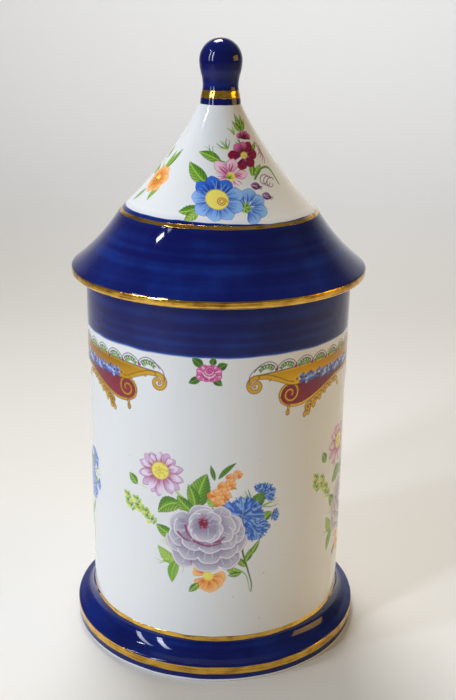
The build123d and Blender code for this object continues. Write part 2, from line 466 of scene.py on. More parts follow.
class Enamel:
    """A flat sheet of enamel painting on a grid, in millimetres: x across, y up."""

    def __init__(self, low, high, cell, ink, seed):
        self.cell = cell
        self.ink = ink
        self.rng = np.random.default_rng(seed)
        self.x, self.y = np.meshgrid(np.arange(low[0], high[0] + cell, cell),
                                     np.arange(low[1], high[1] + cell, cell))
        self.colour = np.tile(ink["ground"], self.x.shape + (1,))
        self.cover = np.zeros(self.x.shape)
        self.gold = np.zeros(self.x.shape)

    def window(self, points, reach):
        """The stretch of grid within reach of some points."""
        points = np.atleast_2d(points)
        low = points.min(0) - reach
        high = points.max(0) + reach
        cols = np.searchsorted(self.x[0], (low[0], high[0]))
        rows = np.searchsorted(self.y[:, 0], (low[1], high[1]))
        return np.s_[rows[0]:rows[1], cols[0]:cols[1]]

    def lay(self, win, mask, colour, gold=0.0):
        """Lays colour over what is there."""
        self.colour[win] += (colour - self.colour[win]) * mask[..., None]
        self.cover[win] = np.maximum(self.cover[win], mask)
        self.gold[win] += (gold - self.gold[win]) * mask

    def local(self, at, angle, reach):
        """The window round a point, with each cell's distance along and across a direction."""
        win = self.window(at, reach)
        dx = self.x[win] - at[0]
        dy = self.y[win] - at[1]
        c, s = turn(angle)
        return win, dx * c + dy * s, dy * c - dx * s

    def blade(self, at, angle, length, width, root, tip, rim=None, vein=None, full=1.5, bend=0.0, firm=1.0):
        """One petal or leaf: root colour to tip colour, a rim line and fine veins."""
        win, along, across = self.local(at, angle, length + width)
        t = along / length
        inside = np.clip(t, 0, 1)
        across = across - bend * 4 * inside * (1 - inside)
        half = width / 2 * np.sin(np.pi * inside ** full) ** 0.75 + 1e-6
        edge = np.where((t > 0) & (t < 1), half - np.abs(across), -1)
        mask = ease(-self.cell, self.cell, edge) * firm
        side = np.clip(across / half, -1, 1)
        ink = self.ink
        shade = mixed(ink[root], ink[tip], ease(0.05, 0.85, inside + 0.12 * side))
        if vein:
            lines = np.cos(side * 7 + self.rng.uniform(0, 6)) * 0.5 + 0.5
            shade = mixed(shade, ink[vein], 0.55 * lines ** 3 * (1 - inside))
        if rim:
            line = ease(1.7 * self.cell, 0.4 * self.cell, edge) * ease(0.1, 0.5, inside)
            shade = mixed(shade, ink[rim], 0.85 * line)
        self.lay(win, mask, shade)

    def leaf(self, root, tip, width, light="green", dark="green_deep", rib="green_pale", bend=0.0, teeth=0.0):
        """A leaf with a light and a dark side, a midrib, slanting veins and a darker outline."""
        reach = np.subtract(tip, root)
        length = np.hypot(*reach)
        angle = math.degrees(math.atan2(reach[1], reach[0]))
        win, along, across = self.local(root, angle, length + width)
        t = np.clip(along / length, 0, 1)
        across = across - bend * 4 * t * (1 - t)
        half = width / 2 * np.sin(np.pi * t ** 0.85) ** 0.9 + 1e-6
        half = half * (1 + teeth * (np.abs(np.sin(along * 2.4)) - 0.5))
        edge = np.where((along > 0) & (along < length), half - np.abs(across), -1)
        ink = self.ink
        side = across / half
        shade = mixed(ink[light], ink[rib], 0.55 * ease(0.1, 0.9, side) * ease(1.0, 0.5, t))
        slant = np.cos((along - np.abs(across) * 1.2) * 2 * math.pi / 1.5) * 0.5 + 0.5
        lines = 0.8 * slant ** 3 * ease(0.05, 0.4, np.abs(side)) + 0.5 * ease(0.0, -0.9, side)
        shade = mixed(shade, ink[dark], np.clip(lines, 0, 0.85))
        shade = mixed(shade, ink[rib], 0.8 * ease(0.3, 0.08, np.abs(across)))
        shade = mixed(shade, ink[dark], ease(1.6 * self.cell, 0.3 * self.cell, edge) * 0.75)
        self.lay(win, ease(-self.cell, self.cell, edge), shade)

    def nearest(self, win, line):
        """Each cell's distance from a line, and how far along the line that is."""
        start = line[:-1]
        run = line[1:] - start
        dx = self.x[win][..., None] - start[:, 0]
        dy = self.y[win][..., None] - start[:, 1]
        t = np.clip((dx * run[:, 0] + dy * run[:, 1]) / ((run ** 2).sum(1) + 1e-9), 0, 1)
        gap = np.hypot(dx - t * run[:, 0], dy - t * run[:, 1])
        pick = gap.argmin(-1)[..., None]
        share = (np.take_along_axis(t, pick, -1) + pick) / len(start)
        return np.take_along_axis(gap, pick, -1)[..., 0], share[..., 0]

    def stroke(self, points, width, colour, end=None, gold=0.0, firm=1.0):
        """A brush line along points, from one width to another."""
        line = np.asarray(points, float)
        end = width if end is None else end
        win = self.window(line, width + 1)
        gap, share = self.nearest(win, line)
        half = (width + (end - width) * share) / 2
        self.lay(win, ease(0.8 * self.cell, -0.8 * self.cell, gap - half) * firm, self.ink[colour], gold)

    def dab(self, at, size, colour, angle=0.0, flat=1.0, soft=0.35, firm=1.0, gold=0.0):
        """A round or oval touch of the brush."""
        win, along, across = self.local(at, angle, size)
        gap = np.hypot(along, across / flat) / (size / 2)
        self.lay(win, ease(1 + soft / 2, 1 - soft, gap) * firm, self.ink[colour], gold)

    def patch(self, outline, colour, gold=0.0, shade=None, slope=(0, 1), firm=1.0):
        """A filled shape, plain or shaded towards a second colour."""
        p = np.asarray(outline, float)
        win = self.window(p, 1)
        gap = self.nearest(win, np.vstack([p, p[:1]]))[0]
        a, b = p, np.roll(p, -1, 0)
        rise = np.where(b[:, 1] == a[:, 1], 1e-9, b[:, 1] - a[:, 1])
        x = self.x[win][..., None]
        y = self.y[win][..., None]
        over = (a[:, 1] > y) != (b[:, 1] > y)
        left_of = x < a[:, 0] + (y - a[:, 1]) * (b[:, 0] - a[:, 0]) / rise
        inside = (over & left_of).sum(-1) % 2 == 1
        mask = ease(-self.cell, self.cell, np.where(inside, gap, -gap)) * firm
        tint = self.ink[colour]
        if shade:
            run = self.x[win] * slope[0] + self.y[win] * slope[1]
            low, high = (p @ np.array(slope)).min(), (p @ np.array(slope)).max()
            tint = mixed(tint, self.ink[shade], ease(low, high, run))
        self.lay(win, mask, tint, gold)


def stem(p, points, width=0.5, colour="green_deep"):
    """A stalk or tendril that thins towards its end."""
    p.stroke(bow(points), width, colour, width * 0.4)


def tuft(p, at, angle, spread, count, reach, width, colours):
    """A fan of quick brush strokes from one place, in turn in each colour."""
    for i in range(count):
        way = angle + spread * (i / max(1, count - 1) - 0.5) + p.rng.uniform(-4, 4)
        tip = np.array(at) + turn(way) * reach * p.rng.uniform(0.8, 1.0)
        middle = np.array(at) + turn(way + p.rng.uniform(-9, 9)) * reach * 0.55
        p.stroke(bow([at, middle, tip], 6), width, colours[i % len(colours)], width * 0.35)


def disc(p, at, size, flat=1.0, seeds=26):
    """A daisy's domed centre, stippled."""
    p.dab(at, size * 1.14, "yellow_deep", flat=flat, soft=0.2, firm=0.7)
    p.dab(at, size, "yellow", flat=flat, soft=0.12)
    for i in range(seeds):
        spot = turn(SEED_ANGLE * i) * size * 0.44 * math.sqrt(i / seeds)
        shade = "yellow_deep" if i % 3 == 0 or i < 9 else "yellow"
        p.dab((at[0] + spot[0], at[1] + spot[1] * flat), size * 0.15, shade, soft=0.8, firm=0.6)


def daisy(p, at, reach, count, tones, low=1.0, heart=0.33, plump=1.25):
    """Petals round a disc. low stretches the petals that point down. tones: root, tip, rim and vein."""
    for i in range(count):
        angle = 90 + 360 * i / count + p.rng.uniform(-6, 6)
        lean = 0.5 - 0.5 * math.sin(math.radians(angle))
        length = reach * (1 + (low - 1) * lean) * p.rng.uniform(0.88, 1)
        root = np.array(at) + turn(angle) * reach * heart * 0.55
        width = 2 * math.pi * reach * 0.7 / count * plump
        p.blade(root, angle, length - reach * heart * 0.55, width, *tones)


def fringed(p, at, angle, reach, wide, light):
    """One notched cornflower petal: dark at its root, split at its lip, with pale lines along it."""
    tones = ("blue", "blue_pale") if light else ("blue_deep", "blue")
    p.blade(np.array(at), angle, reach, wide, *tones, "blue_deep", "blue_deep", 2.6)
    ends = ("blue_pale", "blue_deep", "blue") if light else ("blue", "blue_pale", "blue_deep")
    for k in (-1, 0, 1):
        way = turn(angle + k * 30 * wide / reach + p.rng.uniform(-4, 4))
        start = np.array(at) + way * reach * p.rng.uniform(0.3, 0.5)
        p.stroke([start, np.array(at) + way * reach * p.rng.uniform(0.94, 1.08)], 0.34, ends[k + 1], 0.42)


def cornflower(p, at, reach, count=15, squash=0.85, lean=0.0, sweep=360.0):
    """Rows of notched petals, dark between and pale at the lip."""
    for row, share in enumerate((1.0, 0.76, 0.5)):
        petals = max(3, count - 3 * row)
        for i in range(petals):
            way = lean + sweep * ((i + 0.5 * (row % 2)) / petals - 0.5) + p.rng.uniform(-7, 7)
            way = turn(way) * (1, squash)
            length = reach * share * np.hypot(*way) * p.rng.uniform(0.85, 1)
            angle = math.degrees(math.atan2(way[1], way[0]))
            fringed(p, at, angle, length, reach * 0.34, (i + row) % 3 == 0)
    tuft(p, at, lean, sweep * 0.9, 11, reach * 0.34, 0.3, ("blue_deep", "blue_pale", "blue_deep"))


def cup(p, at, angle, size, wide, line="magenta", firm=0.5):
    """One cupped petal of a full flower: shaded at its root, hatched, with a pale rolled lip."""
    at = np.array(at, float)
    way = turn(angle)
    side = np.array([-way[1], way[0]])
    round_lip = np.radians(np.linspace(-118, 118, 41))[:, None]
    ruffle = 1 + 0.035 * np.sin(5 * round_lip + p.rng.uniform(0, 6))
    lip = (at + way * size * (0.36 + 0.64 * np.cos(round_lip) * ruffle)
           + side * wide / 2 * np.sin(round_lip) * ruffle)
    p.patch(lip, "peony", shade="peony_deep", slope=-way)
    for k in np.linspace(-0.8, 0.8, 9):
        near = p.rng.uniform(0.0, 0.25)
        far = p.rng.uniform(0.55, 0.9) * (1 - 0.3 * abs(k))
        hatch = [at + way * size * near + side * wide * k * 0.34,
                 at + way * size * far + side * wide * k * 0.43]
        p.stroke(hatch, 0.3, "peony_deep" if p.rng.uniform() < 0.75 else "peony_pale", 0.14, firm=0.6)
    outer = lip[4:-4] if p.rng.uniform() < 0.5 else lip[12:]
    p.stroke(outer + way * 0.22, 0.42, line, 0.2, firm=firm)
    p.stroke(lip[8:-7], 0.46, "peony_pale", 0.3, firm=0.95)


def peony(p, heart):
    """A full flower seen a little from above: rows of cupped petals, a bowl of inner ones and a dark heart.

    Each petal is its place from the heart, its angle, its length and its width."""
    ground = bow([(-11.4, 2.0), (-11.6, -5.0), (-9.0, -13.0), (-3.0, -17.4), (4.0, -18.2), (10.4, -14.6),
                  (13.6, -7.0), (12.0, 1.0), (6.0, 5.6), (-2.0, 6.4), (-7.0, 3.4), (-11.4, 2.0)], 8)
    p.patch(ground + heart, "peony_deep", shade="lilac", slope=(0.6, -1))
    rows = (
        ((5.0, 1.0, 60, 6.0, 7.4), (-0.6, 0.4, 95, 6.8, 9.4), (-5.6, -2.6, 142, 7.4, 10.4),
         (8.6, -1.8, 30, 5.8, 8.4)),
        ((-5.8, -12.0, 238, 6.6, 9.2), (1.2, -14.0, 266, 5.6, 10.6), (7.8, -12.4, 298, 6.2, 9.2),
         (-8.8, -7.6, 218, 5.0, 8.6), (11.2, -7.4, 328, 4.4, 8.6)),
        ((-4.6, -9.8, 248, 5.4, 8.4), (2.0, -10.8, 270, 5.6, 8.6), (7.8, -9.0, 302, 5.2, 8.0),
         (-8.0, -5.4, 208, 4.8, 7.6), (10.8, -4.0, 342, 4.2, 7.6)),
        ((-3.2, -6.0, 243, 5.2, 8.0), (2.4, -7.0, 272, 5.0, 8.4), (7.2, -5.2, 312, 5.6, 7.6),
         (-6.2, -2.4, 190, 4.8, 8.0), (8.8, -0.8, 352, 4.6, 7.0), (5.2, -1.6, 12, 6.4, 8.0),
         (5.0, -3.0, 335, 6.2, 6.8)),
    )
    for i, row in enumerate(rows):
        for dx, dy, angle, size, wide in row:
            cup(p, np.add(heart, (dx, dy)), angle, size, wide, firm=0.85 if i == 1 else 0.45)
    folds = (((-9.4, -4.4), (-7.2, -6.6), (-4.6, -7.4)), ((-6.6, -1.2), (-6.0, -4.0), (-4.2, -6.2)),
             ((-3.4, -7.4), (1.6, -9.0), (6.4, -7.8)), ((2.6, -7.2), (5.6, -7.0), (7.8, -5.2)))
    for line in folds:
        p.stroke(bow(np.add(line, heart)), 1.0, "magenta", 0.35, firm=0.8)
        p.stroke(bow(np.add(line, heart) - (0, 0.3)), 0.4, "maroon", 0.2, firm=0.8)
    bowl = ((100, 5.8, 7.6), (150, 5.4, 6.6), (40, 5.6, 6.6), (200, 5.4, 6.8), (335, 6.0, 6.8),
            (238, 6.0, 7.0), (300, 6.4, 7.4), (268, 5.6, 8.0))
    for angle, size, wide in bowl:
        cup(p, np.add(heart, (0.6, -0.8)) + turn(angle) * 0.8, angle, size, wide, firm=0.35)
    p.dab(heart, 6.0, "magenta", 90, 0.75, soft=0.9, firm=0.5)
    p.dab(heart, 4.4, "crimson", 90, 0.75, soft=0.4)
    for i in range(24):
        spot = np.add(heart, turn(SEED_ANGLE * i) * (0.8, 1.15) * 2.4 * math.sqrt(i / 24))
        p.dab(spot, 0.75, ("maroon", "maroon", "crimson", "rose")[i % 4], soft=0.6, firm=0.8)


def snapdragon(p, root, tip, count):
    """A spike of ruffled bells, drawn from its tip down so that each overlaps the one above."""
    run = np.subtract(tip, root)
    up = math.degrees(math.atan2(run[1], run[0]))
    for i in range(count):
        share = 1 - i / (count - 1)
        hand = 1 if i % 2 else -1
        size = 4.7 - 2.1 * share
        at = np.array(root) + run * share + turn(up + 90) * hand * size * 0.2
        for k, lean in enumerate((100, -70, 55, -25, 15)):
            tones = ("orange_deep", "orange") if k == 0 else ("orange", "orange_pale")
            way = up + hand * (lean + 12) + p.rng.uniform(-9, 9)
            length = size * p.rng.uniform(0.6, 0.8)
            p.blade(at, way, length, size * 0.62, *tones, "orange_deep", full=1.9)
        p.dab(at + turn(up) * size * 0.15, size * 0.5, "orange_pale", up, 0.7, soft=0.9, firm=0.6)
        p.dab(at - turn(up) * size * 0.1, size * 0.34, "orange_deep", soft=0.8, firm=0.7)


def blossom(p, at, lobes, tones, heart="yellow", heart_size=4.2):
    """A simple open flower. lobes: the angle, length and width of each petal."""
    for angle, length, wide in lobes:
        p.blade(np.array(at), angle, length, wide, tones[0], tones[1], tones[0], full=1.9)
        tuft(p, np.array(at) + turn(angle) * length * 0.35, angle, 50, 5, length * 0.5, 0.3, (tones[2],))
    p.dab(at, heart_size, heart, soft=0.35)


def fern(p, at, angle, size):
    """A small pale frond of quick leaf strokes."""
    stem(p, [at, np.array(at) + turn(angle) * size], 0.35, "green")
    for i in range(10):
        spot = np.array(at) + turn(angle) * size * (0.04 + 0.095 * i)
        way = angle + (48 if i % 2 else -48) + p.rng.uniform(-14, 14)
        tones = (("green", "green_pale"), ("green_pale", "yellow"), ("green_deep", "green_pale"))[i % 3]
        p.blade(spot, way, size * (0.46 - 0.02 * i), size * 0.19, *tones, full=1.0)


def paint_spray(p):
    """The large spray on the wall: daisy, peony, cornflowers, snapdragon and an orange flower."""
    fern(p, (-29.4, 61.8), 112, 7.6)
    fern(p, (-24.4, 61.8), 118, 7.4)
    fern(p, (-19.6, 59.0), 128, 7.2)
    p.leaf((-26.8, 73.4), (-30.6, 77.2), 3.6)
    stem(p, [(-22.6, 73.0), (-26.4, 73.8)], 0.35, "green_pale")
    stem(p, [(-4.4, 68.2), (-8.0, 72.0), (-12.0, 75.6)], 0.9, "green_pale")
    stem(p, [(-5.0, 68.2), (-8.6, 71.8), (-12.4, 75.2)], 0.4, "green_deep")
    eye = np.array((-16.9, 80.9))
    daisy(p, eye, 8.6, 14, ("magenta", "lilac", "magenta", "lilac_pale"), low=1.22)
    daisy(p, eye, 7.4, 10, ("magenta", "lilac_pale", None, "lilac"), low=1.28, plump=0.85)
    for i in range(16):
        way = turn(40 + 22.5 * i)
        at = eye + way * p.rng.uniform(3.4, 3.8)
        p.stroke([at, at + way * (3.2 if i < 7 else 1.8)], 0.8 if i < 7 else 0.5, "magenta", 0.2, firm=0.75)
    disc(p, (-16.9, 81.2), 6.8, 0.98)
    p.leaf((-3.2, 68.2), (0.6, 82.2), 7.8, bend=0.7, teeth=0.08)
    p.leaf((-3.6, 68.4), (-6.2, 77.6), 4.6, bend=-0.5, teeth=0.06)
    p.leaf((-8.6, 69.6), (-18.0, 64.4), 6.2, bend=-1.6, teeth=0.1)
    p.leaf((-4.2, 66.4), (-10.4, 72.6), 5.2, bend=0.5, teeth=0.08)
    p.leaf((-11.4, 55.8), (-18.8, 59.6), 4.6, bend=0.4, teeth=0.08)
    p.leaf((3.4, 79.4), (1.8, 85.6), 1.7, "green_deep", "green_deep", "green")
    p.leaf((4.6, 80.0), (11.2, 86.4), 2.0, "green", "green_deep", "green_deep", 0.5)
    p.leaf((6.2, 77.6), (11.4, 75.8), 1.6, "green_pale", "green", "green_deep", 0.6)
    p.leaf((4.4, 72.4), (9.8, 73.0), 2.2, bend=0.5)
    p.leaf((3.4, 69.4), (8.4, 70.6), 3.0, bend=0.3)
    p.leaf((3.2, 69.0), (0.8, 72.6), 2.6, "green_pale", "green", "green")
    snapdragon(p, (3.2, 70.8), (11.0, 82.0), 7)
    stem(p, [(17.5, 67.0), (18.8, 69.6), (19.6, 72.0)], 0.8)
    stem(p, [(18.5, 65.6), (21.0, 65.8), (23.4, 64.8)], 0.7)
    tuft(p, (17.4, 70.0), 128, 40, 4, 6.2, 0.7, ("green_deep", "green", "green_pale"))
    tuft(p, (20.4, 68.2), 8, 24, 3, 7.6, 0.6, ("green", "green_pale"))
    cornflower(p, (20.6, 72.8), 6.0, 9, 0.8, 45, 170)
    p.leaf((17.6, 68.6), (21.4, 73.8), 5.0, "green", "green_deep", "green_deep", teeth=0.1)
    cornflower(p, (24.6, 63.6), 3.4, 7, 1.0, 10, 120)
    p.leaf((21.0, 63.0), (24.8, 65.4), 3.6, teeth=0.1)
    stem(p, [(14.6, 56.0), (13.8, 51.0), (15.6, 44.0), (17.4, 37.0), (17.3, 33.4)], 0.9)
    stem(p, [(12.4, 43.2), (15.4, 40.4), (16.8, 33.8)], 0.6, "green")
    p.leaf((14.8, 46.0), (18.0, 52.4), 2.6)
    p.leaf((16.6, 48.4), (20.4, 55.0), 2.0)
    p.leaf((15.2, 44.2), (11.4, 48.4), 2.6)
    p.leaf((13.6, 42.0), (7.4, 44.6), 3.0, "green_pale", "green", "green_deep", 0.5)
    p.leaf((13.4, 41.6), (8.4, 41.0), 2.2)
    cornflower(p, (17.4, 59.8), 6.8, 15, 0.8, -30, 300)
    cornflower(p, (13.4, 65.4), 8.6, 19, 0.88, 100)
    p.leaf((-9.8, 44.6), (-18.2, 51.0), 4.6, "green_pale", "green", "green", 0.8)
    p.leaf((-10.2, 46.4), (-12.4, 36.4), 4.2, "green", "green", "green_pale", -0.9)
    tuft(p, (-13.0, 45.6), 190, 40, 4, 6.4, 0.35, ("green_pale", "green"))
    tuft(p, (-11.8, 51.8), 158, 22, 3, 6.0, 0.4, ("green_pale",))
    stem(p, [(-8.6, 45.6), (-8.0, 43.4), (-8.6, 41.2)], 0.45, "green_pale")
    lobes = ((150, 6.2, 5.6), (112, 6.0, 5.0), (-10, 6.8, 5.6), (-128, 6.6, 5.4), (-40, 6.8, 5.4),
             (-80, 7.2, 6.4))
    blossom(p, (1.2, 41.0), lobes, ("orange", "orange_pale", "orange_deep"))
    p.leaf((-2.2, 37.6), (-6.0, 33.6), 2.8)
    peony(p, (-0.6, 62.4))


def paint_rose(p):
    """The small rose between the scrolls, with five dark leaves."""
    at = np.array((1.0, 120.2))
    leaves = (((-2.0, 2.2), (-6.0, 5.0), 3.2), ((0.9, 2.6), (1.9, 5.6), 2.6), ((2.6, 1.4), (6.4, 3.2), 3.0),
              ((-2.8, -2.0), (-7.2, -4.2), 2.8), ((1.4, -2.0), (4.6, -4.8), 2.8))
    for root, tip, wide in leaves:
        p.leaf(at + root, at + tip, wide, "green_deep", "green_deep", "green")
    petals = ((205, 4.9, 3.6), (338, 4.9, 3.6), (172, 4.6, 3.2), (8, 4.6, 3.2), (232, 3.8, 3.6),
              (308, 3.8, 3.6), (270, 3.3, 3.6), (140, 3.6, 3.0), (42, 3.6, 3.0))
    for angle, length, wide in petals:
        p.blade(at, angle, length, wide, "magenta", "rose", "magenta", "magenta", 1.9)
        p.stroke([at + turn(angle) * length * 0.5, at + turn(angle) * length * 0.84], 0.7, "rose_pale", 0.4)
    bud = at + (0.2, 0.7)
    p.dab(bud, 4.2, "magenta", 90, 0.9, soft=0.15)
    p.dab(bud, 3.6, "rose", 90, 0.9, soft=0.2)
    p.stroke(coil(bud, 1.3, 0.2, 200, 520, 40), 0.4, "magenta", 0.3)
    p.stroke(coil(bud, 1.6, 1.3, 190, 150, 16), 0.4, "rose_pale", 0.3)
    p.stroke(coil(bud - (0, 0.2), 2.3, 2.1, 200, 130, 16), 0.5, "rose_pale", 0.4)
    p.stroke(coil(bud - (0, 0.9), 2.5, 2.4, 205, 120, 16), 0.4, "magenta", 0.3)


def gold_line(p, line, width, end=None):
    """A gilt line with its brown outline."""
    end = width if end is None else end
    p.stroke(line, width + 0.6, "russet_deep", end + 0.5, firm=0.85)
    p.stroke(line, width, "gold", end, gold=1.0)


def paint_scroll_half(p, centre):
    """One half of a scrolled border, from its tip to its centre line."""
    # The gilt wedge shades from russet at its top to gold at its tip and lower edge. This is partly the
    # print's two tones of gold and partly a painted sheen, standing in for the reflections on burnished gold.
    wedge = [(18.4, 118.2), (28, 119.3), (40, 120.0), (centre, 120.6), (centre, 113.6), (38, 113.6),
             (33, 113.2), (27, 115.4)]
    p.patch(wedge, "russet", 1.0, "gold", (-0.12, -1))
    lower = bow([(centre, 111.2), (60, 111.6), (52, 110.4), (44, 107.8), (37, 105.7), (31.5, 105.7),
                 (27.6, 107.6), (26.8, 110.6)])
    p.patch([*lower, (27.6, 113.2), (34, 114.0), (centre, 114.2)], "crimson", 0.0, "maroon", (0.2, 1))
    top = bow([(18.4, 118.7), (30, 119.8), (46, 120.6), (centre, 121.0)])
    p.stroke(top - (0, 0.5), 0.6, "gold", gold=1.0)
    p.stroke(top, 0.4, "russet_deep")
    spacing = 1.6
    for i in range(int((centre - 34) / spacing)):
        at = np.array((35.0 + spacing * i, 115.0 + 0.6 * math.sin(2.4 * i)))
        for k in range(5):
            shade = ("blue", "blue_pale", "blue", "blue_deep")[(i + k) % 4]
            p.dab(at + turn(72 * k + 25 * i) * 1.1, 1.35, shade, soft=0.5)
        p.dab(at, 0.7, "blue_deep" if i % 2 else "peony_pale", soft=0.6)
    gold_line(p, lower, 0.8, 0.9)
    volute = (31.0, 110.2)
    p.dab(volute, 8.4, "crimson", soft=0.1)
    gold_line(p, coil(volute, 4.3, 0.7, 185, -590, 70), 0.7, 0.5)
    gold_line(p, bow([(34.4, 113.8), (30.6, 114.2), (26.0, 116.2), (21.6, 117.7), (17.6, 117.8)]), 0.9, 1.5)
    gold_line(p, coil((17.4, 114.8), 3.0, 0.5, 85, 500, 60), 1.5, 0.7)
    p.dab((22.6, 116.6), 1.2, "russet_deep")
    p.dab((22.6, 116.7), 0.9, "gold", gold=1.0)
    stud = np.array((33.6, 115.2))
    for k in range(6):
        p.dab(stud + turn(60 * k) * 0.9, 1.0, "gold", gold=1.0)
    p.dab(stud, 0.8, "russet_deep", soft=0.6)
    gold_line(p, [(30.4, 105.4), (30.2, 103.6)], 0.7)
    p.dab((30.1, 103.2), 2.5, "russet_deep", 90, 0.8)
    p.dab((30.1, 103.3), 1.9, "gold", 90, 0.8, gold=1.0)
    p.dab((30.2, 103.5), 0.7, "russet_deep", soft=0.7, firm=0.7)
    frond = bow([(39.0, 103.6), (43.0, 105.6), (48.0, 107.8), (53.0, 109.4), (57.2, 109.4), (58.8, 107.0)])
    gold_line(p, frond, 2.2, 1.1)
    for i in range(12):
        at = frond[int(i / 12 * len(frond) * 0.82)]
        size = 4.3 - 0.22 * i
        way = 262 - 6 * i
        p.blade(at, way + (12 if i % 2 else -12), size, 2.0, "russet", "gold", "russet_deep", full=1.7)
        p.dab(at + turn(way) * size * 0.62, 1.0, "gold", gold=1.0)
        p.dab(at + (0.0, 0.3), 0.6, "russet_deep", soft=0.5)
    gold_line(p, coil((39.6, 103.4), 1.5, 0.4, 60, 420, 30), 0.7, 0.4)
    p.stroke(bow([(15.0, 115.6), (15.3, 118.8), (17.6, 121.2), (20.4, 122.2)]), 0.32, "violet")
    swag = 7.8
    for i in range(int((centre - 18) / swag) + 1):
        x = 18.2 + swag * i
        arc = bow([(x - 1.4, 119.9), (x + 0.6, 122.2), (x + 3.6, 123.3), (x + 6.2, 122.4), (x + 7.4, 120.8)])
        p.stroke(arc, 0.34, "violet")
        spine = bow([(x + 6.2, 121.2), (x + 4.4, 122.2), (x + 2.0, 121.9), (x + 0.4, 120.4)])
        for k in range(6):
            root = spine[int((k + 0.3) / 6 * (len(spine) - 1))]
            p.blade(root, 222 + 9 * k, 2.3 - 0.16 * k, 0.8, "green_deep", "green", full=1.0, bend=0.2)
            p.blade(root, 158 + 12 * k, 1.5 - 0.06 * k, 0.7, "green_deep", "green_pale", full=1.0, bend=-0.15)
        p.stroke(spine, 0.4, "green_deep", 0.24)
        p.dab((x + 6.9, 120.3), 1.5, "magenta", soft=0.4)
        p.dab((x + 6.7, 120.6), 0.6, "rose_pale", soft=0.7)


def bell_flower(p, at, angle, size):
    """A small violet bud with a forked tip."""
    p.blade(np.array(at), angle, size, size * 0.72, "violet", "violet", "violet", "lilac", 0.9)
    tuft(p, np.array(at) + turn(angle) * size * 0.7, angle, 50, 4, size * 0.55, 0.4, ("violet",))
    tuft(p, np.array(at) + turn(angle) * size * 0.15, angle, 24, 2, size * 0.6, 0.3, ("lilac",))


def round_petals(p, at, angles, reach, wide, gap, tones, lines):
    """A ring of broad veined petals that starts a gap away from its middle."""
    for angle in angles:
        root = np.array(at) + turn(angle) * gap
        length = (reach - gap) * p.rng.uniform(0.94, 1.04)
        p.blade(root, angle, length, wide, *tones, None, 1.75)
        tuft(p, root, angle, 40, 6, length * 0.8, 0.3, lines)


